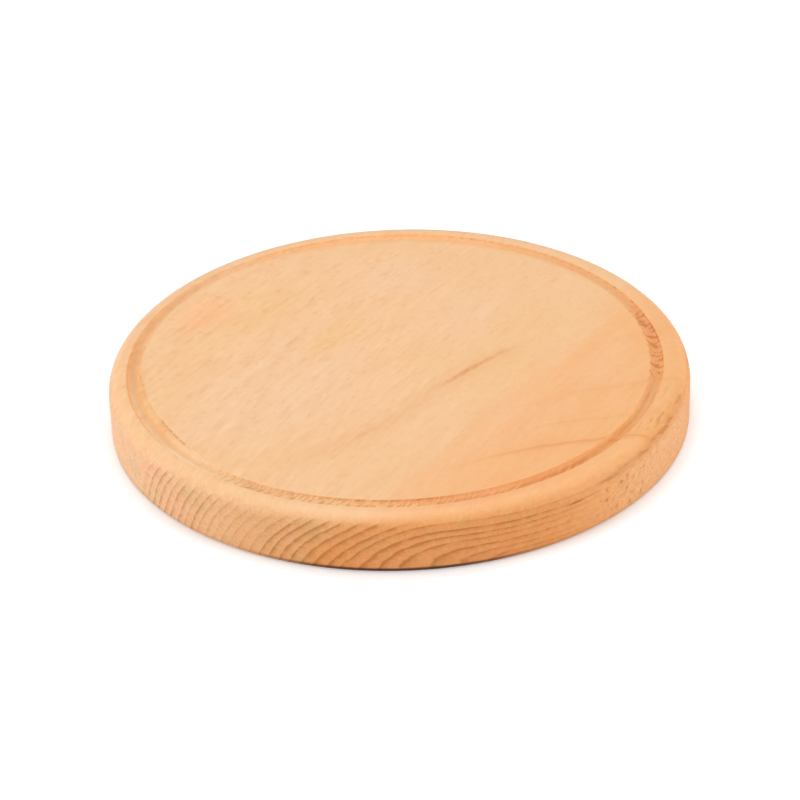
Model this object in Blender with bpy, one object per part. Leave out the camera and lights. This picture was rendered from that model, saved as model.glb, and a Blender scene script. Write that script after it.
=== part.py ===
"""Round cutting board with a juice groove, cut from one plank of solid beech.

Units are metres and +Z is up. The origin is the middle of the underside, on the
surface that the board rests on. The front of the board faces -Y.
"""
import math

import bmesh
import bpy

MM = 0.001

# The turned blank
BOARD_DIAMETER = 250 * MM
BOARD_THICKNESS = 25 * MM
TOP_EDGE_RADIUS = 7.5 * MM
BOTTOM_EDGE_RADIUS = 1.5 * MM

# The juice groove, cut with a round-nosed tool
GROOVE_INSET = 12.5 * MM
GROOVE_DEPTH = 2.0 * MM
GROOVE_NOSE_RADIUS = 2.8 * MM
GROOVE_LIP_RADIUS = 0.7 * MM

# The groove was cut in a second clamping, so its centre is a little off the board's
GROOVE_OFFSET_X = -1.7 * MM
GROOVE_OFFSET_Y = -0.3 * MM

# Sanding leaves each lip of the groove meeting the flat top at this slope
LIP_SLOPE = math.radians(14)

# How far the groove's tool stands above the top, so that it cuts clear through it
TOOL_CLEARANCE = 4 * MM

# Facet counts
ROUND_SEGMENTS = 144
TOP_EDGE_SEGMENTS = 9
BOTTOM_EDGE_SEGMENTS = 4
NOSE_SEGMENTS = 10
LIP_SEGMENTS = 3

# Smooth shading stops at folds sharper than this
SMOOTH_LIMIT = math.radians(32)

# Oiled beech, as linear colour
BEECH_COLOR = (0.88, 0.53, 0.28, 1.0)
BEECH_ROUGHNESS = 0.55


def clear_scene():
    """Remove whatever the open file holds."""
    for item in list(bpy.data.objects):
        bpy.data.objects.remove(item, do_unlink=True)


def arc(centre, radius, start, end, segments):
    """Points (r, z) on a circle's arc, both ends included, with angles from +r towards +z."""
    points = []
    for i in range(segments + 1):
        angle = start + (end - start) * i / segments
        points.append((centre[0] + radius * math.cos(angle), centre[1] + radius * math.sin(angle)))
    return points


def blank_profile():
    """The board's outer profile (r, z), from the flat underside up to the flat top."""
    radius = BOARD_DIAMETER / 2
    low = (radius - BOTTOM_EDGE_RADIUS, BOTTOM_EDGE_RADIUS)
    high = (radius - TOP_EDGE_RADIUS, BOARD_THICKNESS - TOP_EDGE_RADIUS)
    bottom_edge = arc(low, BOTTOM_EDGE_RADIUS, -math.pi / 2, 0, BOTTOM_EDGE_SEGMENTS)
    top_edge = arc(high, TOP_EDGE_RADIUS, 0, math.pi / 2, TOP_EDGE_SEGMENTS)
    return bottom_edge + top_edge


def groove_profile():
    """The groove tool's section (r, z), a closed loop from its outer top corner inwards.

    The nose is an arc whose lowest point is GROOVE_DEPTH under the top. Each lip is an arc
    that touches the nose from outside and crosses the top at LIP_SLOPE.
    """
    middle = BOARD_DIAMETER / 2 - GROOVE_INSET
    nose_height = GROOVE_NOSE_RADIUS - GROOVE_DEPTH
    lip_height = -GROOVE_LIP_RADIUS * math.cos(LIP_SLOPE)
    reach = GROOVE_NOSE_RADIUS + GROOVE_LIP_RADIUS
    lip_out = math.sqrt(reach ** 2 - (nose_height - lip_height) ** 2)
    contact = math.asin((nose_height - lip_height) / reach)

    nose_centre = (middle, BOARD_THICKNESS + nose_height)
    outer_centre = (middle + lip_out, BOARD_THICKNESS + lip_height)
    inner_centre = (middle - lip_out, BOARD_THICKNESS + lip_height)
    quarter = math.pi / 2
    outer_lip = arc(outer_centre, GROOVE_LIP_RADIUS, quarter, math.pi - contact, LIP_SEGMENTS)
    nose = arc(nose_centre, GROOVE_NOSE_RADIUS, -contact, contact - math.pi, NOSE_SEGMENTS)
    inner_lip = arc(inner_centre, GROOVE_LIP_RADIUS, contact, quarter, LIP_SEGMENTS)

    top = BOARD_THICKNESS + TOOL_CLEARANCE
    outer_corner = (middle + lip_out, top)
    inner_corner = (middle - lip_out, top)
    return [outer_corner] + outer_lip + nose[1:-1] + inner_lip + [inner_corner]


def turned_mesh(name, profile, closed):
    """Turn a profile (r, z) once round the Z axis.

    A closed profile makes a ring. An open one makes a solid with a flat face at each end.
    """
    mesh_data = bmesh.new()
    corners = [mesh_data.verts.new((r, 0, z)) for r, z in profile]
    edges = [mesh_data.edges.new(pair) for pair in zip(corners, corners[1:])]
    if closed:
        edges.append(mesh_data.edges.new((corners[-1], corners[0])))
    bmesh.ops.spin(mesh_data, geom=corners + edges, cent=(0, 0, 0), axis=(0, 0, 1),
                   angle=2 * math.pi, steps=ROUND_SEGMENTS, use_merge=True)
    if not closed:
        open_edges = [edge for edge in mesh_data.edges if edge.is_boundary]
        bmesh.ops.holes_fill(mesh_data, edges=open_edges, sides=0)
    bmesh.ops.recalc_face_normals(mesh_data, faces=mesh_data.faces)
    mesh = bpy.data.meshes.new(name)
    mesh_data.to_mesh(mesh)
    mesh_data.free()
    return mesh


def add_object(name, mesh, location=(0, 0, 0)):
    """Link a mesh to the scene as an object."""
    item = bpy.data.objects.new(name, mesh)
    item.location = location
    bpy.context.scene.collection.objects.link(item)
    return item


def beech():
    """Pale steamed beech with a thin coat of oil."""
    material = bpy.data.materials.new("beech")
    material.use_nodes = True
    shader = material.node_tree.nodes["Principled BSDF"]
    shader.inputs["Base Color"].default_value = BEECH_COLOR
    shader.inputs["Roughness"].default_value = BEECH_ROUGHNESS
    shader.inputs["Metallic"].default_value = 0.0
    material.diffuse_color = BEECH_COLOR
    return material


def groove_tool():
    """The ring that cuts the juice groove, centred a little off the board."""
    tool = add_object("groove_tool", turned_mesh("groove_tool", groove_profile(), closed=True),
                      location=(GROOVE_OFFSET_X, GROOVE_OFFSET_Y, 0))
    tool.hide_render = True
    tool.display_type = 'WIRE'
    return tool


def board():
    """The board: the turned blank with the juice groove cut into its top."""
    item = add_object("board", turned_mesh("board", blank_profile(), closed=False))
    item.data.materials.append(beech())
    item.data.shade_smooth()
    item.data.set_sharp_from_angle(angle=SMOOTH_LIMIT)
    cut = item.modifiers.new("juice_groove", 'BOOLEAN')
    cut.operation = 'DIFFERENCE'
    cut.solver = 'EXACT'
    cut.object = groove_tool()
    return item


def main():
    """Build the board."""
    clear_scene()
    board()


main()
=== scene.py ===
"""Round beech cutting board: the turned and grooved plank, its wood, and the studio around it.

Lengths are metres and +Z is up. The board rests on z = 0, with its middle on the Z axis.
The wood is worked out in board radii, so that its figure grows and shrinks with the board.
"""
import math

import bpy
import numpy as np
from bpy.props import FloatProperty, FloatVectorProperty, IntProperty, PointerProperty
from mathutils import Matrix, Vector


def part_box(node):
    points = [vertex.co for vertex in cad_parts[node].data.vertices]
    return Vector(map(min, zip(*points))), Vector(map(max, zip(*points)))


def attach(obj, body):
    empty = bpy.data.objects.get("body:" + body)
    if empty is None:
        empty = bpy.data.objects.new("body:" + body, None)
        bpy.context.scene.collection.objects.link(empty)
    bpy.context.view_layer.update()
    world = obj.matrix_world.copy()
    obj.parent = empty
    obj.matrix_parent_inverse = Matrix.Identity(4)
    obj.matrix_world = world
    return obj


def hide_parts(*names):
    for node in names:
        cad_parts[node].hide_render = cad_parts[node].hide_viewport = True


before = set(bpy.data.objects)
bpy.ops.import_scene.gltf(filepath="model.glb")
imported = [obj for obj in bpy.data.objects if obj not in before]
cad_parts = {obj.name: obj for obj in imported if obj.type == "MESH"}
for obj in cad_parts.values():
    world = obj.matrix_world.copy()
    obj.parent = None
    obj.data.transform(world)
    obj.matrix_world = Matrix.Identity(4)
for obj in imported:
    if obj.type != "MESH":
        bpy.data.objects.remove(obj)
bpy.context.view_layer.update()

LOWEST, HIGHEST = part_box("board")

bl_info = {
    "name": "Round Cutting Board",
    "version": (1, 0, 0),
    "blender": (4, 5, 0),
    "location": "3D View > Sidebar > Cutting Board",
    "description": "Builds a round beech cutting board with a juice groove, and a studio for it",
    "category": "Add Mesh",
}

MM = 0.001

# The plank's grain runs at this angle from the +X axis
GRAIN_ANGLE = math.radians(56.7)

# Up the rounded upper edge to here, the skin's rings are centred on the board and not the groove
SHOULDER_ANGLE = math.radians(65)

# Rings of the skin over the ledge, each lip of the groove, its nose, the upper edge, the side
# between the edges, and the lower edge
LEDGE_RINGS = 17
LIP_RINGS = 5
NOSE_RINGS = 17
UPPER_EDGE_RINGS = 13
SIDE_RINGS = 6
LOWER_EDGE_RINGS = 7

# The ledge reaches its depth over LEDGE_EASE, its wall lies LEDGE_WALL in from its start, and
# where it is narrower than LEDGE_LEAST it fades out
LEDGE_EASE = 0.33 * MM
LEDGE_WALL = 0.15 * MM
LEDGE_LEAST = 0.6 * MM

# The cutter's ripple as two waves: how many go round the groove, how far and how often they
# stray, and their strength. The scale brings their sum to about 1
RIPPLES = ((151, 1.7, 7, 1.0), (97, 2.1, 11, 0.6))
RIPPLE_SCALE = 0.6

# Reach of the masks: a cut this deep counts as groove, a lip's bell fades over its width, and
# oil soaks this far into the wood beside the groove
GROOVE_MASK_DEPTH = 0.45 * MM
LIP_MASK_WIDTH = 0.4 * MM
SOAK_WIDTH = 3.0 * MM

FLOOR_WIDTH = 8.0

# The camera aims at the cutting face this far in front of its middle, in board radii
AIM = 0.2714


class BoardShape(bpy.types.PropertyGroup):
    """Sizes of the turned board and of its groove."""
    diameter: FloatProperty(
        name="Diameter", description="Across the board",
        default=HIGHEST.x - LOWEST.x, min=0.05, unit='LENGTH')
    thickness: FloatProperty(
        name="Thickness", description="From the underside to the cutting face",
        default=HIGHEST.z - LOWEST.z, min=0.008, unit='LENGTH')
    top_edge_radius: FloatProperty(
        name="Top Edge Radius", description="Radius of the rounded upper edge",
        default=7.5 * MM, min=0, unit='LENGTH')
    bottom_edge_radius: FloatProperty(
        name="Bottom Edge Radius", description="Radius of the eased lower edge",
        default=1.5 * MM, min=0, unit='LENGTH')
    groove_inset: FloatProperty(
        name="Groove Inset", description="From the edge to the middle of the groove",
        default=12.5 * MM, min=0, unit='LENGTH')
    groove_depth: FloatProperty(
        name="Groove Depth", description="From the cutting face to the groove's floor",
        default=2.0 * MM, min=0, unit='LENGTH')
    groove_nose: FloatProperty(
        name="Groove Nose", description="Radius of the round-nosed cutter",
        default=2.8 * MM, min=0, unit='LENGTH')
    groove_lip: FloatProperty(
        name="Groove Lip", description="Radius that sanding leaves on the groove's lips",
        default=0.6 * MM, min=0, unit='LENGTH')
    groove_offset: FloatVectorProperty(
        name="Groove Offset", description="From the board's middle to the groove's",
        default=(-1.7 * MM, -0.3 * MM), size=2, unit='LENGTH')
    ledge_angle: FloatProperty(
        name="Ledge Angle", description="Where the cutter went in, beside the inner lip",
        default=math.radians(-156), subtype='ANGLE')
    ledge_spread: FloatProperty(
        name="Ledge Spread", description="How far the ledge reaches to each side",
        default=math.radians(24), min=0.01, subtype='ANGLE')
    ledge_width: FloatProperty(
        name="Ledge Width", description="Widest place of the ledge",
        default=2.6 * MM, min=0, unit='LENGTH')
    ledge_depth: FloatProperty(
        name="Ledge Depth", description="Depth of the ledge under the cutting face",
        default=0.4 * MM, min=0, unit='LENGTH')
    cutter_marks: FloatProperty(
        name="Cutter Marks", description="Depth of the cutter's marks in the groove's end grain",
        default=0.03 * MM, min=0, unit='LENGTH')
    segments: IntProperty(
        name="Segments", description="Faces round the board", default=960, min=32, max=1200)


def colour_property(name, description, default):
    """A linear colour setting."""
    return FloatVectorProperty(name=name, description=description, default=default, size=3,
                               min=0, max=1, subtype='COLOR')


class BeechFinish(bpy.types.PropertyGroup):
    """Colours of the oiled beech. A tint multiplies the wood's own colour."""
    outer_wood: colour_property(
        "Outer Wood", "Pale wood far from the pith", (0.89, 0.535, 0.278))
    inner_wood: colour_property(
        "Inner Wood", "Warm wood near the pith", (0.895, 0.445, 0.18))
    rosy_wood: colour_property(
        "Rosy Wood", "Pinker patches", (0.90, 0.565, 0.34))
    olive_wood: colour_property(
        "Olive Wood", "Yellower patches", (0.875, 0.525, 0.235))
    ruddy_wood: colour_property(
        "Ruddy Wood", "One orange patch at the back left", (0.93, 0.50, 0.25))
    # Painted light: paler wood mixed into the groove where its own shading should hardly show
    painted_light_wood: colour_property(
        "Dry Wood", "Paler wood that paints light into the groove", (0.98, 0.69, 0.41))
    ray_tint: colour_property(
        "Ray Tint", "Ray flecks on the faces", (0.90, 0.80, 0.66))
    line_tint: colour_property(
        "Line Tint", "Dark line that closes each year", (0.72, 0.56, 0.39))
    arch_tint: colour_property(
        "Arch Tint", "Year lines that cross the cutting face", (0.90, 0.74, 0.55))
    streak_tint: colour_property(
        "Streak Tint", "Brown mineral streak on the cutting face", (0.85, 0.62, 0.42))
    outer_end_tint: colour_property(
        "Outer End Tint", "End grain of the pale wood", (0.98, 0.93, 0.96))
    inner_end_tint: colour_property(
        "Inner End Tint", "End grain of the warm wood", (0.965, 0.80, 0.60))
    olive_end_tint: colour_property(
        "Olive End Tint", "Greener clouds in the end grain", (0.93, 1.0, 0.98))
    rosy_end_tint: colour_property(
        "Rosy End Tint", "Pinker clouds in the end grain", (1.0, 0.96, 1.0))
    # Oil in the groove, which at the left also paints the shade of its walls
    groove_oil_and_shade_tint: colour_property(
        "Groove Tint", "Oil in the groove, and painted shade on its walls at the left", (0.98, 0.91, 0.80))
    # Cutter marks and lip lines; at the left the outer lip's line is painted shade
    mark_tint: colour_property(
        "Mark Tint", "Cutter marks and lip lines, with painted shade at the left", (0.75, 0.54, 0.37))
    flaw_tint: colour_property(
        "Flaw Tint", "Scratch and open pores on the side", (0.62, 0.46, 0.34))
    # Painted contact shadow on the lower arris, where the board meets the floor
    arris_shadow_tint: colour_property(
        "Arris Shadow Tint", "Lower arris, painted contact shadow", (0.14, 0.085, 0.06))
    speckle_tint: colour_property(
        "Speckle Tint", "Fine strokes in the groove at the front", (0.72, 0.63, 0.42))
    roughness: FloatProperty(
        name="Roughness", description="Roughness of the sanded faces",
        default=0.5, min=0, max=1, subtype='FACTOR')


class StudioLook(bpy.types.PropertyGroup):
    """Floor, light and camera."""
    floor_colour: colour_property(
        "Floor", "Pale floor, as light bounces from it", (0.8, 0.8, 0.8))
    sky: FloatProperty(
        name="Sky", description="Even light from all round", default=0.17, min=0)
    left_light: FloatProperty(
        name="Left Light", description="Power of the left softbox", default=10.5, min=0,
        unit='POWER')
    right_light: FloatProperty(
        name="Right Light", description="Power of the right softbox", default=9.9, min=0,
        unit='POWER')
    top_light: FloatProperty(
        name="Top Light", description="Power of the overhead softbox", default=17.8, min=0,
        unit='POWER')
    elevation: FloatProperty(
        name="Elevation", description="Camera's height above the cutting face, as an angle",
        default=math.radians(30.35), subtype='ANGLE')
    distance: FloatProperty(
        name="Distance", description="From the middle of the cutting face to the camera",
        default=1.25, min=0.2, unit='LENGTH')
    roll: FloatProperty(
        name="Roll", description="How far the camera leans to its right",
        default=math.radians(2.0), subtype='ANGLE')
    focal_length: FloatProperty(
        name="Focal Length", description="On a 36 mm sensor", default=130.8, min=1)


def arc(centre, radius, start, end, count):
    """Radii and heights of count points on an arc, both ends included."""
    angle = np.linspace(start, end, count)
    return np.stack([centre[0] + radius * np.cos(angle), centre[1] + radius * np.sin(angle)], 1)


def groove_section(shape):
    """Section of the groove (radius, height) from its inner to its outer lip.

    The nose is an arc whose lowest point is the groove's depth under the face. Each lip is an
    arc that touches the face from below and the nose from outside.
    """
    middle = shape.diameter / 2 - shape.groove_inset
    face = shape.thickness
    nose_height = shape.groove_nose - shape.groove_depth
    reach = shape.groove_nose + shape.groove_lip
    out = math.sqrt(reach ** 2 - (nose_height + shape.groove_lip) ** 2)
    contact = math.asin((nose_height + shape.groove_lip) / reach)
    quarter = math.pi / 2
    inner = arc((middle - out, face - shape.groove_lip), shape.groove_lip, quarter, contact,
                LIP_RINGS)
    nose = arc((middle, face + nose_height), shape.groove_nose, contact - math.pi, -contact,
               NOSE_RINGS)
    outer = arc((middle + out, face - shape.groove_lip), shape.groove_lip, math.pi - contact,
                quarter, LIP_RINGS)
    return np.concatenate([inner, nose[1:-1], outer])


def blank_height(shape, distance):
    """Height of the blank's upper side at a distance from its axis, down its rounded edge."""
    edge = shape.top_edge_radius
    past = np.clip(distance - (shape.diameter / 2 - edge), 0, edge)
    return shape.thickness - edge + np.sqrt(edge ** 2 - past ** 2)


def cut_section(shape):
    """Radii and heights of the rings that are centred on the groove, out to its outer lip.

    A few wide rings cover the flat face, and close ones the ring of it that holds the ledge.
    """
    groove = groove_section(shape)
    inner = groove[0, 0]
    step = 0.15 * MM
    flat = np.array([0.16, 0.4, 0.64, 0.84, 0.93]) * inner
    ledge = np.linspace(inner - shape.ledge_width - 4 * step, inner - step, LEDGE_RINGS)
    face = np.concatenate([flat, ledge])
    radii = np.concatenate([face, groove[:, 0]])
    heights = np.concatenate([np.full(len(face), shape.thickness), groove[:, 1]])
    return radii, heights


def edge_section(shape):
    """Radii and heights of the rings from the upper edge to the middle of the underside."""
    radius, bottom = shape.diameter / 2, shape.bottom_edge_radius
    shoulder = shape.thickness - shape.top_edge_radius
    upper = arc((radius - shape.top_edge_radius, shoulder), shape.top_edge_radius,
                SHOULDER_ANGLE, 0, UPPER_EDGE_RINGS)
    side = np.linspace(shoulder, bottom, SIDE_RINGS + 2)[1:-1]
    lower = arc((radius - bottom, bottom), bottom, 0, -math.pi / 2, LOWER_EDGE_RINGS)
    underside = np.array([0.995, 0.9, 0.6, 0.25]) * (radius - bottom)
    return np.concatenate([upper, np.stack([np.full_like(side, radius), side], 1), lower,
                           np.stack([underside, np.zeros_like(underside)], 1)]).T


def with_heights(xy, heights):
    """Points on the level with a height for each."""
    return np.concatenate([xy, np.broadcast_to(heights[..., None], (*xy.shape[:-1], 1))], -1)


def board_points(shape):
    """The board's skin as a grid of points, rings by segments, with its masks.

    Inside the groove's outer lip the rings are centred on the groove. From there they move over to
    the board's own axis, and follow the blank's surface down to the upper edge.

    The ledge is a crescent beside the groove's inner lip, where the cutter went in: its width
    falls as a parabola to both sides of that place, and its depth eases in over a third of
    a millimetre. A point lies at the deepest of the blank, the groove and the ledge.
    The cutter's marks are a ripple along the groove, strongest where it runs across the grain.

    The groove's mask is the depth of the cut. A lip's mask is a bell across the lip, and the
    inner one moves over to the ledge's wall where there is a ledge. The mask beside the groove
    fades evenly away from it.
    """
    azimuth = np.arange(shape.segments) * 2 * math.pi / shape.segments
    around = np.stack([np.cos(azimuth), np.sin(azimuth)], -1)
    section = groove_section(shape)[:, 0]
    start, end = section[0], section[-1]
    lips = section[[LIP_RINGS // 2, -1 - LIP_RINGS // 2]]

    radii, heights = cut_section(shape)
    xy = np.array(shape.groove_offset) + radii[:, None, None] * around
    blank = blank_height(shape, np.hypot(xy[..., 0], xy[..., 1]))
    turn = (azimuth - shape.ledge_angle + math.pi) % (2 * math.pi) - math.pi
    width = shape.ledge_width * np.clip(1 - (turn / shape.ledge_spread) ** 2, 0, 1)
    into_ledge = radii[:, None] - (start - width)
    ease = np.clip(into_ledge / LEDGE_EASE, 0, 1)
    ledge = shape.ledge_depth * ease ** 2 * (3 - 2 * ease) * np.clip(width / LEDGE_LEAST, 0, 1)
    ledge[radii > shape.diameter / 2 - shape.groove_inset] = 0

    floor = shape.thickness - heights[:, None]
    ripple = sum(strength * np.sin(waves * azimuth + stray * np.sin(bends * azimuth))
                 for waves, stray, bends, strength in RIPPLES)
    end_grain = np.cos(azimuth - GRAIN_ANGLE) ** 2
    marks = RIPPLE_SCALE * shape.cutter_marks * ripple * (0.25 + 0.75 * end_grain)
    floor = floor + marks * floor / shape.groove_depth
    height = np.minimum(blank, shape.thickness - np.maximum(floor, ledge))

    bells = np.exp(-((radii[:, None, None] - lips) / LIP_MASK_WIDTH) ** 2)
    wall = np.exp(-((into_ledge - LEDGE_WALL) / LIP_MASK_WIDTH) ** 2)
    past = np.maximum(start - radii, radii - end)[:, None]
    masks = {"groove": np.clip((blank - height) / GROOVE_MASK_DEPTH, 0, 1),
             "beside_groove": np.broadcast_to(np.clip(1 - past / SOAK_WIDTH, 0, 1), blank.shape),
             "inner_lip": np.where(width > LEDGE_LEAST, wall, bells[..., 0]),
             "outer_lip": np.broadcast_to(bells[..., 1], blank.shape)}

    edge_radii, edge_heights = edge_section(shape)
    outside = with_heights(edge_radii[:, None, None] * around, edge_heights[:, None])
    # How far each ring of the rim has moved from the groove's outer lip to the upper edge
    share = np.array([0.03, 0.12, 0.26, 0.42, 0.58, 0.73, 0.87])[:, None, None]
    rim = (1 - share) * xy[-1] + share * outside[0, :, :2]
    rim = with_heights(rim, blank_height(shape, np.hypot(rim[..., 0], rim[..., 1])))

    rest = np.zeros((len(rim) + len(outside), shape.segments))
    masks = {name: np.concatenate([mask, rest]) for name, mask in masks.items()}
    return np.concatenate([with_heights(xy, height), rim, outside]), masks


def skin_mesh(name, points, poles):
    """A closed mesh over a grid of rings, with a pole at its first and last ring."""
    rings, segments = points.shape[:2]
    index = np.arange(rings * segments).reshape(rings, segments)
    after = np.roll(index, -1, axis=1)
    quads = np.stack([index[:-1], index[1:], after[1:], after[:-1]], -1).reshape(-1, 4)
    first, last = rings * segments, rings * segments + 1
    top = np.stack([np.full(segments, first), index[0], after[0]], -1)
    bottom = np.stack([np.full(segments, last), after[-1], index[-1]], -1)
    vertices = np.concatenate([points.reshape(-1, 3), np.array(poles)])

    mesh = bpy.data.meshes.new(name)
    mesh.from_pydata(vertices.tolist(), [], quads.tolist() + top.tolist() + bottom.tolist())
    mesh.validate()
    mesh.update()
    mesh.shade_smooth()
    return mesh


def write_attribute(mesh, name, values):
    """Store one number per vertex."""
    attribute = mesh.attributes.new(name, 'FLOAT', 'POINT')
    attribute.data.foreach_set("value", np.ascontiguousarray(values, dtype=np.float32))


def board_mesh(shape):
    """The board's mesh, with its masks.

    End grain is the part of the surface's normal that lies along the grain: 0 where the grain
    lies in the surface, and 1 where the surface is cut square across it. Upright is the level
    part of the normal: 0 on the faces, and 1 on the side.
    """
    points, masks = board_points(shape)
    poles = [(*shape.groove_offset, shape.thickness), (0, 0, 0)]
    mesh = skin_mesh("board", points, poles)
    normals = np.zeros(len(mesh.vertices) * 3, np.float32)
    mesh.vertices.foreach_get("normal", normals)
    grain = np.array([math.cos(GRAIN_ANGLE), math.sin(GRAIN_ANGLE), 0])
    normals = normals.reshape(-1, 3)
    write_attribute(mesh, "end_grain", np.abs(normals @ grain))
    write_attribute(mesh, "upright", np.hypot(normals[:, 0], normals[:, 1]))
    for name, mask in masks.items():
        write_attribute(mesh, name, np.concatenate([mask.ravel(), [0, 0]]))
    return mesh


class Term:
    """A number that a node gives out. Sums with it add Math nodes to its tree."""

    def __init__(self, nodes, socket):
        self.nodes = nodes
        self.socket = socket

    def __add__(self, other):
        return self.nodes.math('ADD', self, other)

    def __sub__(self, other):
        return self.nodes.math('SUBTRACT', self, other)

    def __rsub__(self, other):
        return self.nodes.math('SUBTRACT', other, self)

    def __mul__(self, other):
        return self.nodes.math('MULTIPLY', self, other)

    def __truediv__(self, other):
        return self.nodes.math('DIVIDE', self, other)

    def __pow__(self, other):
        return self.nodes.math('POWER', self, other)

    def __abs__(self):
        return self.nodes.math('ABSOLUTE', self)

    __radd__ = __add__
    __rmul__ = __mul__


class Nodes:
    """Adds nodes to one tree, in columns, and joins them."""

    def __init__(self, tree):
        self.tree = tree
        self.count = 0

    def feed(self, node, inputs):
        """Join terms to a node's inputs, and set the other values on them."""
        for key, value in inputs.items():
            if isinstance(value, Term):
                self.tree.links.new(value.socket, node.inputs[key])
            else:
                node.inputs[key].default_value = value

    def add(self, kind, inputs=None, **settings):
        """A node with its settings, and values or terms for its inputs."""
        node = self.tree.nodes.new(kind)
        node.location = (self.count // 6 * 190, -(self.count % 6) * 180)
        self.count += 1
        for key, value in settings.items():
            setattr(node, key, value)
        self.feed(node, inputs or {})
        return node

    def term(self, kind, inputs=None, output=0, **settings):
        """One output of a new node."""
        return Term(self, self.add(kind, inputs, **settings).outputs[output])

    def math(self, operation, *values):
        """The result of one sum."""
        return self.term('ShaderNodeMath', dict(enumerate(values)), operation=operation)

    def most(self, first, *others):
        """The largest of the values."""
        for other in others:
            first = self.math('MAXIMUM', first, other)
        return first

    def least(self, first, second):
        """The smaller of two values."""
        return self.math('MINIMUM', first, second)

    def ease(self, value, low, high, start=0.0, end=1.0, way='SMOOTHSTEP'):
        """The value eased from start at low to end at high."""
        return self.term('ShaderNodeMapRange', {
            "Value": value, "From Min": low, "From Max": high, "To Min": start, "To Max": end},
            interpolation_type=way)

    def level(self, value, low, high, start=0.0, end=1.0):
        """The value carried evenly from start at low to end at high."""
        return self.ease(value, low, high, start, end, 'LINEAR')

    def window(self, turn, middle, reach, full, low=0.0, high=1.0):
        """High within full degrees of an azimuth, easing to low at reach degrees from it."""
        off = abs(self.math('WRAP', turn - math.radians(middle), math.pi, -math.pi))
        return self.ease(off, math.radians(reach), math.radians(full), low, high)

    def point(self, x, y, z):
        """Three numbers as one point."""
        return self.term('ShaderNodeCombineXYZ', {0: x, 1: y, 2: z})

    def split(self, point):
        """A point as its three numbers."""
        sockets = self.add('ShaderNodeSeparateXYZ', {0: point}).outputs
        return [Term(self, socket) for socket in sockets]

    def noise(self, point, detail=2.0, scale=1.0):
        """Smooth noise around a half."""
        return self.term('ShaderNodeTexNoise', {"Vector": point, "Scale": scale, "Detail": detail})

    def attribute(self, name):
        """A mask that the mesh carries."""
        return self.term('ShaderNodeAttribute', output="Fac", attribute_name=name)

    def mix(self, share, a, b, blend='MIX'):
        """Two colours mixed, with the share of the second."""
        a, b = (value if isinstance(value, Term) else (*value, 1.0) for value in (a, b))
        return self.term('ShaderNodeMix', {0: share, 6: a, 7: b}, 2, data_type='RGBA',
                         blend_type=blend)

    def tint(self, colour, share, tint):
        """The colour multiplied by a tint, as far as the share goes."""
        return self.mix(share, colour, tint, 'MULTIPLY')

    def shade(self, colour, shade, red, blue):
        """The colour times a shade around 1. Red and blue take their own share of the shade."""
        tone = self.term('ShaderNodeCombineColor', {0: shade * red + (1 - red), 1: shade,
                                                    2: shade * blue + (1 - blue)})
        return self.tint(colour, 1.0, tone)

    def curve(self, value, stops):
        """The value read off a line through (position, height) stops."""
        node = self.add('ShaderNodeValToRGB', {0: value})
        ramp = node.color_ramp
        while len(ramp.elements) < len(stops):
            ramp.elements.new(0.5)
        for element, (position, height) in zip(ramp.elements, stops):
            element.position = position
            element.color = (height, height, height, 1)
        return Term(self, node.outputs[0])

    def group(self, tree, inputs):
        """The outputs, by name, of a node group that is placed with its own values."""
        node = self.add('ShaderNodeGroup', inputs, node_tree=tree)
        return {socket.name: Term(self, socket) for socket in node.outputs}

    def seen(self):
        """1 for what the camera sees, straight, in a mirror or through glass."""
        path = self.add('ShaderNodeLightPath').outputs
        return self.most(*(Term(self, path[name]) for name in (
            "Is Camera Ray", "Is Glossy Ray", "Is Transmission Ray")))


def emptied_nodes(owner):
    """The node tree of a material or a world, emptied."""
    owner.use_nodes = True
    owner.node_tree.nodes.clear()
    return Nodes(owner.node_tree)


def open_group(name, inputs):
    """A new shader node group: its Nodes, and its inputs as terms."""
    n = Nodes(bpy.data.node_groups.new(name, 'ShaderNodeTree'))
    kinds = {float: 'NodeSocketFloat', tuple: 'NodeSocketVector'}
    for socket, value in inputs.items():
        item = n.tree.interface.new_socket(socket, in_out='INPUT', socket_type=kinds[type(value)])
        item.default_value = value
    entry = n.add('NodeGroupInput')
    return n, {socket.name: Term(n, socket) for socket in entry.outputs}


def close_group(n, results):
    """Give a node group its outputs, and give back the finished tree."""
    for name in results:
        n.tree.interface.new_socket(name, in_out='OUTPUT', socket_type='NodeSocketFloat')
    n.feed(n.add('NodeGroupOutput'), results)
    return n.tree


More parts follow.
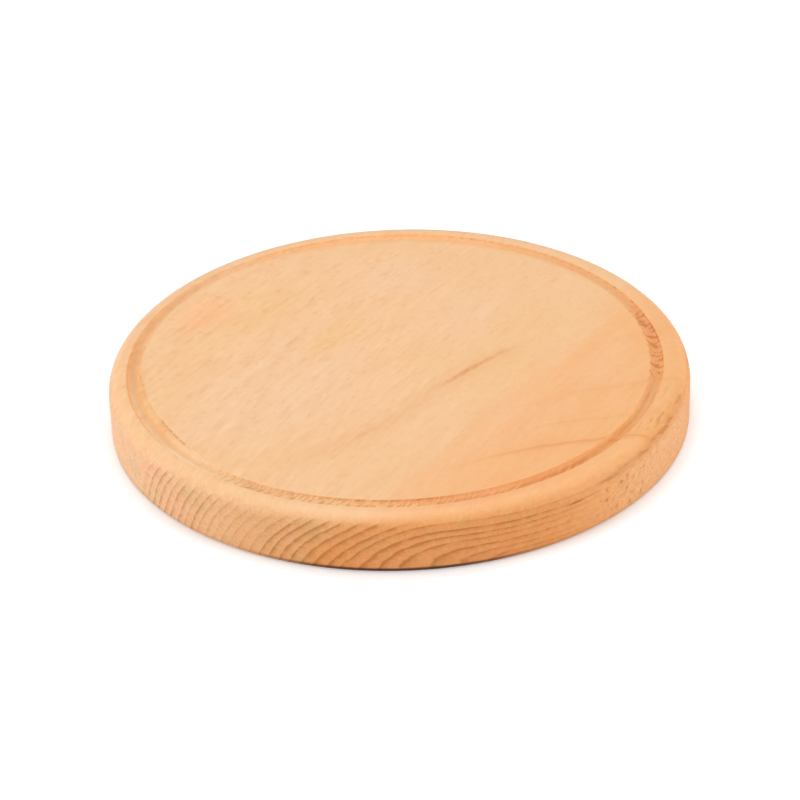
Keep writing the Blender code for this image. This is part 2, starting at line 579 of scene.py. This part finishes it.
def growth_rings_group():
    """Node group for the growth rings of one plank.

    The rings are wide ellipses round a pith that lies under the plank, and their crest leans.
    Past the crest they run nearly flat. Age is the distance from the pith in those ellipses.
    The count of years grows with it, a little faster further out. Year's End is the dark
    latewood line: it deepens slowly through the year and stops at once. Contrast is how strongly
    it shows.
    """
    inputs = {"Across": 0.0, "Along": 0.0, "Under": 0.0, "Pith Across": 0.718,
              "Pith Under": 0.2445, "Flatness": 1.703, "Lean": 1.44, "Shear": 0.17,
              "Far Side": 0.056, "Taper": 0.02, "Years": 25.3, "Closing": 3.2, "Wave": 0.012}
    n, given = open_group("Growth Rings", inputs)
    across, along, under = given["Across"], given["Along"], given["Under"]
    wave = n.noise(n.point(across * 3.2, along * 1.3, under * 5.0)) - 0.5
    shiver = n.noise(n.point(across * 30.0, along * 10.0, under * 30.0), 3.0) - 0.5

    lean = given["Lean"] * n.ease(across, 0.32, 0.82) - given["Shear"] * n.ease(across, 0.45, 0.15)
    side = across - given["Pith Across"] + lean * (0.1 - under)
    side = n.least(side, side * given["Far Side"])
    up = (given["Pith Under"] - under) * given["Flatness"]
    age = n.math('SQRT', side * side + up * up)
    age += (along + 0.9) * given["Taper"]
    age += 2.0 * wave * given["Wave"] + 0.011 * shiver

    # Years from the pith, closer together further out and never quite even
    past = age - 0.161
    wander = n.noise(n.point(age * 9.0, 0.0, 0.0), 1.0) - 0.5
    years = past * given["Years"] + past * past * given["Closing"] - 0.4 + 0.9 * wander
    end = n.curve(n.math('FRACT', years), [(0.0, 0.3), (0.07, 0.0), (0.45, 0.12), (0.74, 0.45),
                                           (0.87, 1.0), (0.95, 1.0), (1.0, 0.3)])

    # Each year's line has its own strength. All are weaker in one band of years and far from the
    # pith, stronger where they turn, and broken up by noise
    year = n.term('ShaderNodeTexWhiteNoise', {"W": n.math('FLOOR', years)}, "Value",
                  noise_dimensions='1D')
    weak = n.ease(age, 0.62, 0.68) * n.ease(age, 0.88, 0.81)
    turning = n.ease(across, 0.08, 0.18) * n.ease(across, 0.74, 0.5)
    broken = n.noise(n.point(across * 26.0, along * 26.0, under * 45.0))
    contrast = n.level(year, 0.0, 1.0, 0.6, 1.1) * (1.0 - 0.6 * weak)
    contrast *= n.ease(age, 1.18, 1.13, 0.08, 1.0) * (1.0 + 0.5 * turning)
    contrast *= n.ease(broken, 0.28, 0.62, 0.45, 1.25)

    # A finer line closes the year, most of all in the weaker band
    late = n.ease(abs(n.math('FRACT', years + 0.52) - 0.5), 0.07, 0.0)
    late *= n.most(n.ease(broken, 0.4, 0.6, 0.0, 0.45), weak * 0.8)
    end = n.most(end, late * n.ease(age, 1.0, 0.8))
    return close_group(n, {"Age": age, "Year's End": end, "Contrast": contrast})


def long_grain_group():
    """Node group for what runs along the grain: bands, veins, dashes, streaks, speckle and pores.

    Each is noise stretched along the grain, which bends a little across the plank.
    """
    inputs = {"Across": 0.0, "Along": 0.0, "Under": 0.0, "Bend": -0.04, "Skew": 0.03}
    n, given = open_group("Long Grain", inputs)
    along = given["Along"]
    bent = given["Across"] + along * given["Skew"] + along * along * given["Bend"]

    def stretched(across_scale, along_scale, detail):
        point = n.point(bent * across_scale, along * along_scale, given["Under"] * across_scale)
        return n.noise(point, detail)

    return close_group(n, {
        "Bands": stretched(11.0, 1.6, 1.0), "Veins": stretched(21.0, 3.6, 2.0),
        "Dashes": stretched(30.0, 7.0, 3.0), "Streaks": stretched(55.0, 13.0, 4.0),
        "Speckle": stretched(120.0, 30.0, 3.0), "Pores": stretched(420.0, 34.0, 2.0)})


def tone_patches_group():
    """Node group for the soft patches of tone on the cutting face.

    A patch is an ellipse that lies along the grain, with a wavy rim that fades. Rosy gathers the
    pinker patches, Olive the yellower ones, and Ruddy is one orange patch at the back left.
    """
    inputs = {"Across": 0.0, "Along": 0.0}
    n, given = open_group("Tone Patches", inputs)
    wave = 0.9 * (n.noise(n.point(given["Across"] * 5.0, given["Along"] * 3.0, 0.0), 3.0) - 0.5)

    def patch(across, along, half_across, half_along, strength):
        side = (given["Across"] - across) / half_across
        up = (given["Along"] - along) / half_along
        out = n.math('SQRT', side * side + up * up)
        return n.ease(out + wave, 1.0, 0.3, 0.0, strength)

    rosy = n.most(patch(-0.27, -0.34, 0.36, 0.56, 0.65), patch(0.0, 0.36, 0.2, 0.3, 0.5),
                  patch(-0.33, 0.5, 0.24, 0.2, 0.45), patch(0.64, 0.3, 0.16, 0.26, 0.5))
    olive = n.most(patch(0.34, 0.08, 0.15, 0.26, 0.5), patch(0.31, 0.44, 0.2, 0.26, 0.45),
                   patch(-0.28, 0.06, 0.11, 0.22, 0.65), patch(-0.64, 0.06, 0.18, 0.24, 0.5))
    ruddy = patch(-0.76, -0.07, 0.13, 0.2, 0.9)
    return close_group(n, {"Rosy": rosy, "Olive": olive, "Ruddy": ruddy})


def ray_fleck_group():
    """Node group for beech's rays: thin upright sheets that run out from the pith.

    A cell is narrow round the ring, taller along the grain, and long across the rings. A face cut
    along a ring shows it as a short dash, one cut across the rings as a ribbon, and the end
    grain as a fine line.
    """
    inputs = {"Across": 0.0, "Along": 0.0, "Under": 0.0, "Age": 0.5, "Amount": 0.3}
    n, given = open_group("Ray Flecks", inputs)
    turn = n.math('ARCTAN2', 0.62 - given["Under"], given["Across"] - 0.72)
    point = n.point(turn * 95.0, given["Along"] * 26.0, given["Age"] * 11.0)
    stir = n.term('ShaderNodeTexNoise', {"Vector": point, "Scale": 0.35, "Detail": 1.0}, "Color")
    point = n.term('ShaderNodeVectorMath', {0: point, 1: stir}, operation='ADD')
    cell = n.add('ShaderNodeTexVoronoi', {"Vector": point, "Scale": 1.0, "Randomness": 1.0},
                 feature='F1')
    lot = n.term('ShaderNodeSeparateColor', {0: Term(n, cell.outputs["Color"])})
    chosen = n.math('LESS_THAN', lot, given["Amount"])
    fleck = n.ease(Term(n, cell.outputs["Distance"]), 0.42, 0.22)
    return close_group(n, {"Fleck": chosen * fleck})


def groove_marks_group():
    """Node group for what the cutter left in the groove.

    Ticks and faint patches cross it at the right, and fine speckle lies in it at the front. All
    are noise, cut off sharply, in a window of azimuths. Dark lines follow the lips in a few
    places, and the groove's floor at the right front; at the left the outer lip's line is painted
    shade on the groove's outer wall. Oil is how much of it the groove holds, and at the left it
    also paints shade on the groove's walls. Dry is painted light: a paler wood is mixed in where
    the groove's own shading should hardly show. Turn is the azimuth in radians, and Distance the
    share of the board's radius, from the groove's own axis.
    """
    inputs = {"Turn": 0.0, "Distance": 0.9, "Middle": 0.9, "Inner Lip": 0.0, "Outer Lip": 0.0}
    n, given = open_group("Groove Marks", inputs)
    turn = given["Turn"]

    def window(middle, spread, height=1.0):
        return n.window(turn, middle, spread, spread / 2, 0.0, height)

    def dots(around, outwards, low, high, slant=0.0):
        place = turn + given["Distance"] * slant
        point = n.point(place * around, given["Distance"] * outwards, 0.0)
        return n.ease(n.noise(point), low, high)

    out = given["Distance"] - given["Middle"]
    floor = n.ease(abs(out), 0.02, 0.003)
    outer_half = n.ease(out, -0.012, 0.010)

    ticks = window(4.0, 21.0) * dots(40.0, 34.0, 0.46, 0.60, 0.4)
    patches = window(-12.0, 16.0) * dots(14.0, 20.0, 0.5, 0.65)
    speckle = window(-104.0, 36.0) * dots(95.0, 45.0, 0.43, 0.60, 1.2)
    speckle *= 0.5 + 0.5 * floor
    line = window(-63.0, 24.0) * dots(42.0, 30.0, 0.34, 0.56, 2.5) * n.ease(floor, 0.2, 0.9)

    worn = dots(38.0, 0.0, 0.3, 0.6)
    front_right = window(-17.0, 14.0, 0.2)
    inner = window(-150.0, 9.0, 1.6) + window(172.0, 24.0, 0.7) + front_right
    # At the left the outer lip's line also paints the shade of the groove's outer wall
    outer = window(-167.0, 30.0, 0.9) + front_right
    lips = n.most(inner * given["Inner Lip"], outer * given["Outer Lip"])
    lips = n.least(0.8 * lips * worn, 1.0)
    mark = n.most(0.95 * ticks, 0.12 * patches, 0.85 * line, lips)

    # Oil the groove holds; at the left it also paints the shade of the groove's walls
    oil = window(76.0, 54.0) + window(176.0, 38.0, 0.4) + window(-46.0, 26.0, 0.9)
    oil += window(-88.0, 24.0, 0.2) + window(170.0, 40.0, 0.25) * outer_half
    oil += 0.2 + 0.2 * floor * (1.0 - window(-150.0, 34.0))
    oil += window(-168.0, 30.0, 0.8) * (1.0 - floor)
    # Painted light, where the groove's own shading should hardly show
    painted_light = n.most(window(-137.0, 14.0) * (0.3 + 0.7 * outer_half),
                 window(-157.0, 22.0, 0.3) * floor, window(-21.0, 13.0, 0.12))
    return close_group(n, {"Mark": mark, "Speckle": speckle, "Oil": oil, "Lightening": painted_light})


def edge_flaws_group():
    """Node group for the flaws on the side: a short dark scratch, and open pores beside it.

    The scratch is an ellipse of azimuth and depth, with a fainter one beside it. The pores are
    sharply cut noise inside larger ellipses, on the right and a few on the left, and softer
    noise makes the right side rough.
    """
    inputs = {"Turn": 0.0, "Under": 0.0, "Spot": (0.0, 0.0, 0.0)}
    n, given = open_group("Edge Flaws", inputs)

    def ellipse(turn, half_turn, under, half_under):
        side = (given["Turn"] - math.radians(turn)) / math.radians(half_turn)
        up = (given["Under"] - under) / half_under
        return side * side + up * up

    scratch = n.most(n.ease(ellipse(-56.3, 2.6, 0.0665, 0.0045), 1.0, 0.2),
                     n.ease(ellipse(-53.0, 3.0, 0.064, 0.003), 1.0, 0.2, 0.0, 0.5))
    right = n.ease(n.noise(given["Spot"], 1.5, 48.0), 0.58, 0.70)
    right *= n.ease(ellipse(-43.0, 11.0, 0.12, 0.075), 1.0, 0.5)
    left = n.ease(n.noise(given["Spot"], 1.5, 62.0), 0.62, 0.70)
    left *= n.ease(ellipse(-154.0, 9.0, 0.09, 0.05), 1.0, 0.5)
    pores = 0.7 * n.most(right, 0.6 * left)
    rough = n.ease(n.noise(given["Spot"], 2.0, 70.0), 0.45, 0.68)
    rough *= n.ease(ellipse(-30.0, 24.0, 0.12, 0.1), 1.0, 0.4, 0.0, 0.28)
    return close_group(n, {"Flaw": n.most(scratch, pores, rough)})


def arch_group():
    """Node group for the arches where the cutting face meets the year lines at a slant.

    An arch follows a line that climbs along the grain as it goes across, with a little bulge. The
    next arches lie further along the grain, ever wider apart. Each is dark at its outer side and
    fades inwards. The first is the strongest.
    """
    inputs = {"Across": 0.0, "Along": 0.0, "Start": 0.54, "Foot": -0.459, "Climb": 0.99,
              "Bulge": 0.045, "Crowding": 7.0, "Opening": 1.2}
    n, given = open_group("Arches", inputs)
    past = given["Across"] - given["Start"]
    crest = 1.0 - (4.35 * past - 1.0) ** 2.0
    foot = given["Foot"] + past * given["Climb"] + crest * given["Bulge"]
    wave = n.noise(n.point(given["Across"] * 7.0, given["Along"] * 3.5, 0.0), 3.0)
    beyond = given["Along"] - foot + 0.09 * (wave - 0.5)
    count = beyond * given["Crowding"] / (1.0 + n.most(beyond, 0.0) * given["Opening"])
    line = n.curve(n.math('FRACT', count + 0.5),
                   [(0.0, 0.0), (0.3, 0.06), (0.47, 0.5), (0.5, 1.0), (0.53, 0.7), (0.6, 0.15),
                    (1.0, 0.0)])
    strength = n.ease(count, 0.55, 0.45, 0.35, 1.0) * n.ease(count, -0.5, -0.4)
    strength *= n.ease(past, -0.1, 0.2) * n.ease(count, 5.0, 2.0)
    return close_group(n, {"Arch": line * strength})


def shoulder_line_group():
    """Node group for the brown line that runs round the right shoulder of the board.

    It is one year line, cut nearly along its surface: it climbs evenly with the azimuth.
    Above is the height over the cutting face, in board radii.
    """
    inputs = {"Turn": 0.0, "Above": 0.0, "Start": -0.98, "End": -0.15, "Low": -0.041,
              "High": -0.014, "Half Width": 0.018}
    n, given = open_group("Shoulder Line", inputs)
    turn, above = given["Turn"], given["Above"]
    height = n.level(turn, given["Start"], given["End"], given["Low"], given["High"])
    wave = n.noise(n.point(turn * 14.0, above * 20.0, 0.0)) - 0.5
    share = abs(above - height + 0.012 * wave) / given["Half Width"]
    broken = n.noise(n.point(turn * 13.0 + above * 30.0, above * 60.0, 3.0), 3.0)
    core = n.ease(share, 0.6, 0.1) * n.ease(broken, 0.46, 0.62)
    line = 0.65 * core + 0.5 * n.ease(share, 1.6, 0.0)
    start = n.ease(turn - given["Start"], 0.0, 0.18)
    end = n.ease(given["End"] - turn, 0.0, 0.25)
    return close_group(n, {"Line": line * start * end})


def beech_material(finish, shape):
    """Oiled beech, as a solid wood: every face shows the cut that it makes through the rings."""
    material = bpy.data.materials.new("oiled_beech")
    n = emptied_nodes(material)

    # Plank coordinates in board radii: across the grain, along it, and down from the face
    radius = shape.diameter / 2
    spot = n.term('ShaderNodeTexCoord', output="Object")
    plank = n.term('ShaderNodeMapping', {
        "Vector": spot, "Location": (0, 0, -shape.thickness / radius),
        "Rotation": (0, 0, math.pi / 2 - GRAIN_ANGLE), "Scale": (1 / radius,) * 3})
    across, along, above = n.split(plank)
    under = above * -1.0
    face_place = {"Across": across, "Along": along}
    place = {**face_place, "Under": under}
    rings = n.group(growth_rings_group(), place)
    grain = n.group(long_grain_group(), place)
    rays = n.group(ray_fleck_group(), {**place, "Age": rings["Age"], "Amount": 0.35})

    # Azimuth round the board, and distance from the groove's axis in board radii
    side, up, _ = n.split(spot)
    turn = n.math('ARCTAN2', up, side)
    groove_side, groove_up = side - shape.groove_offset[0], up - shape.groove_offset[1]
    from_axis = n.math('SQRT', groove_side * groove_side + groove_up * groove_up) / radius

    # How squarely a surface cuts the grain
    end_grain, upright, groove = (n.attribute(name) for name in ("end_grain", "upright", "groove"))
    facing = end_grain / n.most(upright, 0.05)
    open_end = n.ease(upright, 0.70, 0.96) * n.ease(facing, 0.22, 0.62)
    side_cut = n.ease(end_grain, 0.6, 0.2)

    # The wood grows warmer towards the pith, with soft patches of tone
    drift = grain["Bands"] - 0.5
    warm_age = rings["Age"] + 0.10 * drift
    warm = n.ease(warm_age, 0.57, 0.40)
    colour = n.mix(warm, finish.outer_wood, finish.inner_wood)
    tone = n.noise(n.point(across * 2.6, along * 1.5, under), 1.0)
    patches = n.group(tone_patches_group(), face_place)
    top = n.ease(under, 0.05, 0.01) * (1.0 - 0.75 * warm)
    rosy = n.ease(tone, 0.48, 0.7, 0.0, 0.2) + patches["Rosy"] * top
    olive = n.ease(tone, 0.5, 0.3, 0.0, 0.2) + patches["Olive"] * top
    colour = n.mix(olive, n.mix(rosy, colour, finish.rosy_wood), finish.olive_wood)
    colour = n.mix(patches["Ruddy"] * top, colour, finish.ruddy_wood)

    # Long grain on the faces
    streaks = grain["Streaks"] - 0.5
    lively = n.ease(n.noise(n.point(across * 9.0, along * 5.0, under)), 0.3, 0.65, 0.10, 0.28)
    lively *= n.ease(across, 0.4, -0.1, 0.65, 1.3) * n.ease(along, 0.1, 0.5, 1.0, 0.65)
    shade = 1.0 + streaks * lively + 0.05 * drift
    shade += 0.75 * lively * (grain["Veins"] - 0.5) * side_cut
    shade += 0.10 * (n.noise(plank, 3.0, 30.0) - 0.5)
    shade += 0.03 * n.ease(grain["Dashes"], 0.41, 0.27) * side_cut
    dark_dashes = n.ease(grain["Dashes"], 0.58, 0.72) * n.ease(across, 0.5, -0.2, 0.4, 1.0)
    shade -= 0.075 * dark_dashes * side_cut
    colour = n.shade(colour, shade, 0.4, 1.7)
    fleck = rays["Fleck"] * (0.28 * open_end + 0.3 * side_cut)
    colour = n.tint(colour, fleck, finish.ray_tint)

    # Year lines where they lie nearly flat: arches on the cutting face, a line on the shoulder
    arches = n.group(arch_group(), face_place)["Arch"]
    arches *= n.ease(under, 0.07, 0.03) * n.ease(upright, 0.85, 0.4)
    shoulder = n.group(shoulder_line_group(), {"Turn": turn, "Above": above})["Line"]
    shoulder *= n.ease(upright, 0.2, 0.4)
    slanted = n.point((across + 0.17 * along) * 62.0, along * 8.0, under)
    strokes = n.ease(n.noise(slanted), 0.53, 0.66) * n.window(turn, -25, 12, 5)
    rim = n.ease(upright, 0.8, 0.5) * n.ease(from_axis, 0.925, 0.945, 0.0, 0.6)
    shoulder = n.most(shoulder, strokes * rim)
    colour = n.tint(colour, arches, finish.arch_tint)
    colour = n.tint(colour, shoulder, finish.line_tint)

    # Mineral streak along the grain, on a cubic line: a soft brown band with a short dark core
    line = ((0.53 * along + 0.28) * along + 0.17) * along + 0.235
    off = abs(across - line + 0.035 * (grain["Dashes"] - 0.5))
    front = n.ease(along, -0.14, 0.02) * n.ease(along, 0.31, 0.08)
    back = n.ease(along, -0.54, -0.43) * n.ease(along, -0.28, -0.38)
    core = n.ease(off, 0.017, 0.003) * n.ease(grain["Pores"], 0.3, 0.6) * (front + 0.25 * back)
    halo = n.ease(off, 0.085, 0.0) * n.ease(along, 0.36, 0.2) * n.ease(along, -0.84, -0.6)
    halo *= n.ease(grain["Veins"], 0.35, 0.65, 0.08, 0.3)
    depth = (halo + 0.95 * core) * n.ease(under, 0.06, 0.0)
    colour = n.tint(colour, depth, finish.streak_tint)

    # End grain drinks more oil, most of all near the pith, and shows the year lines
    drink = n.mix(n.ease(warm_age, 1.08, 0.42), finish.outer_end_tint, finish.inner_end_tint)
    thirst = n.ease(upright, 0.5, 0.97) * n.ease(facing, 0.05, 0.5) * (1.0 - 0.7 * groove)
    colour = n.tint(colour, thirst, drink)
    stipple = 1.0 + 0.5 * (grain["Speckle"] - 0.5) * n.ease(upright, 0.3, 0.9)
    colour = n.shade(colour, stipple, 0.45, 1.5)
    cloud = n.noise(plank, 2.0, 11.0)
    colour = n.tint(colour, n.ease(cloud, 0.5, 0.68) * open_end, finish.olive_end_tint)
    colour = n.tint(colour, n.ease(cloud, 0.48, 0.32) * open_end, finish.rosy_end_tint)
    year_line = rings["Year's End"] * rings["Contrast"] * open_end
    colour = n.tint(colour, year_line, finish.line_tint)

    # Flaws on the side, and painted contact shadow: the lower arris darkened, most at the front
    flaws = n.group(edge_flaws_group(), {"Turn": turn, "Under": under, "Spot": plank})
    colour = n.tint(colour, flaws["Flaw"], finish.flaw_tint)
    # Painted contact shadow, strongest at the front
    arris = n.ease(shape.thickness / radius - under, 0.020, 0.012) * n.ease(upright, 0.02, 0.2)
    arris *= n.window(turn, -91, 34, 8, 0.15, 1.0)
    colour = n.tint(colour, arris, finish.arris_shadow_tint)

    # The groove and the wood beside it hold oil, and the cutter left marks in it. The oil tint
    # also paints shade on the groove's walls and beside it at the left, and paler wood paints
    # light into it in places
    inner_lip = n.attribute("inner_lip")
    marks = n.group(groove_marks_group(), {
        "Turn": turn, "Distance": from_axis, "Middle": 1 - shape.groove_inset / radius,
        "Inner Lip": inner_lip, "Outer Lip": n.attribute("outer_lip")})
    # Beside the groove the tint darkens the wood towards the back, and paints shade at the left
    behind = n.ease(up, 0.25 * radius, 0.7 * radius, 0.0, 0.8)
    soaked = n.attribute("beside_groove") * n.most(behind, n.window(turn, -160, 30, 14, 0.0, 0.8))
    oiled = n.most(groove, soaked) * marks["Oil"]
    colour = n.tint(colour, n.least(oiled, 1.0), finish.groove_oil_and_shade_tint)
    colour = n.tint(colour, n.most(oiled - 1.0, 0.0), finish.groove_oil_and_shade_tint)
    # Painted light: paler wood mixed into the groove at the front left and the front right
    colour = n.mix(marks["Lightening"] * groove, colour, finish.painted_light_wood)
    colour = n.tint(colour, marks["Speckle"] * groove, finish.speckle_tint)
    # Cutter marks and lip lines; at the left the outer lip's line is painted shade
    mark = marks["Mark"] * n.most(groove, inner_lip)
    colour = n.tint(colour, 0.9 * mark, finish.mark_tint)

    rough = finish.roughness + 0.10 * end_grain + 0.12 * streaks + 0.06 * groove
    height = 0.5 * streaks + 0.7 * (grain["Pores"] - 0.5) - 0.6 * year_line - mark
    bump = n.term('ShaderNodeBump', {"Height": height, "Strength": 0.3, "Distance": 0.06 * MM})
    surface = n.term('ShaderNodeBsdfPrincipled', {
        "Base Color": colour, "Roughness": rough, "Normal": bump, "Specular IOR Level": 0.35})
    n.add('ShaderNodeOutputMaterial', {"Surface": surface})
    material.diffuse_color = (*finish.outer_wood, 1)
    return material


def add_object(name, data):
    """Link new data to the scene as an object."""
    item = bpy.data.objects.new(name, data)
    bpy.context.scene.collection.objects.link(item)
    return item


def floor_material(look):
    """Plain matt floor. The camera sees it lifted to white, with the board's shadow kept."""
    material = bpy.data.materials.new("floor")
    n = emptied_nodes(material)
    seen = n.seen()
    colour = n.mix(seen, look.floor_colour, (0.93, 0.96, 0.99))
    glow = n.mix(seen, (0, 0, 0), (1, 1, 1))
    surface = n.term('ShaderNodeBsdfPrincipled', {
        "Base Color": colour, "Roughness": 0.9, "Specular IOR Level": 0.0,
        "Emission Color": glow, "Emission Strength": 0.22})
    n.add('ShaderNodeOutputMaterial', {"Surface": surface})
    return material


def add_floor(look):
    """A wide flat floor under the board."""
    half = FLOOR_WIDTH / 2
    mesh = bpy.data.meshes.new("floor")
    corners = [(-half, -half, 0), (half, -half, 0), (half, half, 0), (-half, half, 0)]
    mesh.from_pydata(corners, [], [(0, 1, 2, 3)])
    mesh.materials.append(floor_material(look))
    floor = add_object("floor", mesh)


def add_softbox(name, place, size, power):
    """A square softbox that faces the board."""
    light = bpy.data.lights.new(name, 'AREA')
    light.shape = 'SQUARE'
    light.size = size
    light.energy = power
    item = add_object(name, light)
    item.location = place
    item.rotation_euler = Vector(place).to_track_quat('Z', 'Y').to_euler()


def set_world(look):
    """Even light from all round, which the camera and reflections see as white."""
    world = bpy.data.worlds.new("studio")
    bpy.context.scene.world = world
    n = emptied_nodes(world)
    strength = n.level(n.seen(), 0.0, 1.0, look.sky, 1.0)
    light = n.term('ShaderNodeBackground', {"Color": (1, 1, 1, 1), "Strength": strength})
    n.add('ShaderNodeOutputWorld', {"Surface": light})


def add_camera(look, shape):
    """The camera in front of the board, looking down on it and leaning a little."""
    radius = shape.diameter / 2
    face = Vector((0, 0, shape.thickness))
    eye = face + look.distance * Vector((0, -math.cos(look.elevation), math.sin(look.elevation)))
    target = face + Vector((0, -AIM * radius, 0))
    back = (eye - target).normalized()
    right = Vector((0, 0, 1)).cross(back).normalized()
    up = back.cross(right)
    turned_right = right * math.cos(look.roll) - up * math.sin(look.roll)
    turned_up = right * math.sin(look.roll) + up * math.cos(look.roll)
    data = bpy.data.cameras.new("camera")
    data.lens = look.focal_length
    data.sensor_width = 36
    data.clip_end = 20
    camera = add_object("camera", data)
    pose = Matrix((turned_right, turned_up, back)).transposed().to_4x4()
    pose.translation = eye
    camera.matrix_world = pose
    bpy.context.scene.camera = camera


class CUTTINGBOARD_OT_board(bpy.types.Operator):
    """Build the board and its wood"""
    bl_idname = "cutting_board.board"
    bl_label = "Board"
    bl_options = {'REGISTER', 'UNDO'}

    def execute(self, context):
        shape, finish = context.scene.board_shape, context.scene.beech_finish
        board = add_object("beech_board", board_mesh(shape))
        board.data.materials.append(beech_material(finish, shape))
        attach(board, "root")
        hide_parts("board")
        return {'FINISHED'}


class CUTTINGBOARD_OT_studio(bpy.types.Operator):
    """Set up the floor, the light and the camera"""
    bl_idname = "cutting_board.studio"
    bl_label = "Studio"
    bl_options = {'REGISTER', 'UNDO'}

    def execute(self, context):
        look, shape = context.scene.studio_look, context.scene.board_shape
        add_floor(look)
        set_world(look)
        add_softbox("left_softbox", (-1.25, -0.6, 0.42), 0.6, look.left_light)
        add_softbox("right_softbox", (1.25, -0.7, 0.42), 0.6, look.right_light)
        add_softbox("top_softbox", (0.0, 0.3, 1.6), 1.2, look.top_light)
        add_camera(look, shape)
        context.scene.view_settings.view_transform = 'Standard'
        return {'FINISHED'}


class CUTTINGBOARD_PT_panel(bpy.types.Panel):
    """Lists what the add-on builds, with its settings"""
    bl_idname = "CUTTINGBOARD_PT_panel"
    bl_label = "Cutting Board"
    bl_space_type = 'VIEW_3D'
    bl_region_type = 'UI'
    bl_category = "Cutting Board"

    def draw(self, context):
        layout, scene = self.layout, context.scene
        parts = ((CUTTINGBOARD_OT_board, (scene.board_shape, scene.beech_finish)),
                 (CUTTINGBOARD_OT_studio, (scene.studio_look,)))
        for operator, groups in parts:
            box = layout.box()
            box.operator(operator.bl_idname)
            for group in groups:
                for name in group.bl_rna.properties.keys():
                    if name not in ("rna_type", "name"):
                        box.prop(group, name)


CLASSES = (BoardShape, BeechFinish, StudioLook, CUTTINGBOARD_OT_board, CUTTINGBOARD_OT_studio,
           CUTTINGBOARD_PT_panel)


def register():
    """Register the classes and hang the settings on the scene."""
    for item in CLASSES:
        bpy.utils.register_class(item)
    bpy.types.Scene.board_shape = PointerProperty(type=BoardShape)
    bpy.types.Scene.beech_finish = PointerProperty(type=BeechFinish)
    bpy.types.Scene.studio_look = PointerProperty(type=StudioLook)


def unregister():
    """Take the settings and the classes away."""
    for name in ("board_shape", "beech_finish", "studio_look"):
        delattr(bpy.types.Scene, name)
    for item in reversed(CLASSES):
        bpy.utils.unregister_class(item)


def main():
    """Build everything."""
    register()
    bpy.ops.cutting_board.board()
    bpy.ops.cutting_board.studio()


if __name__ == "__main__":
    main()
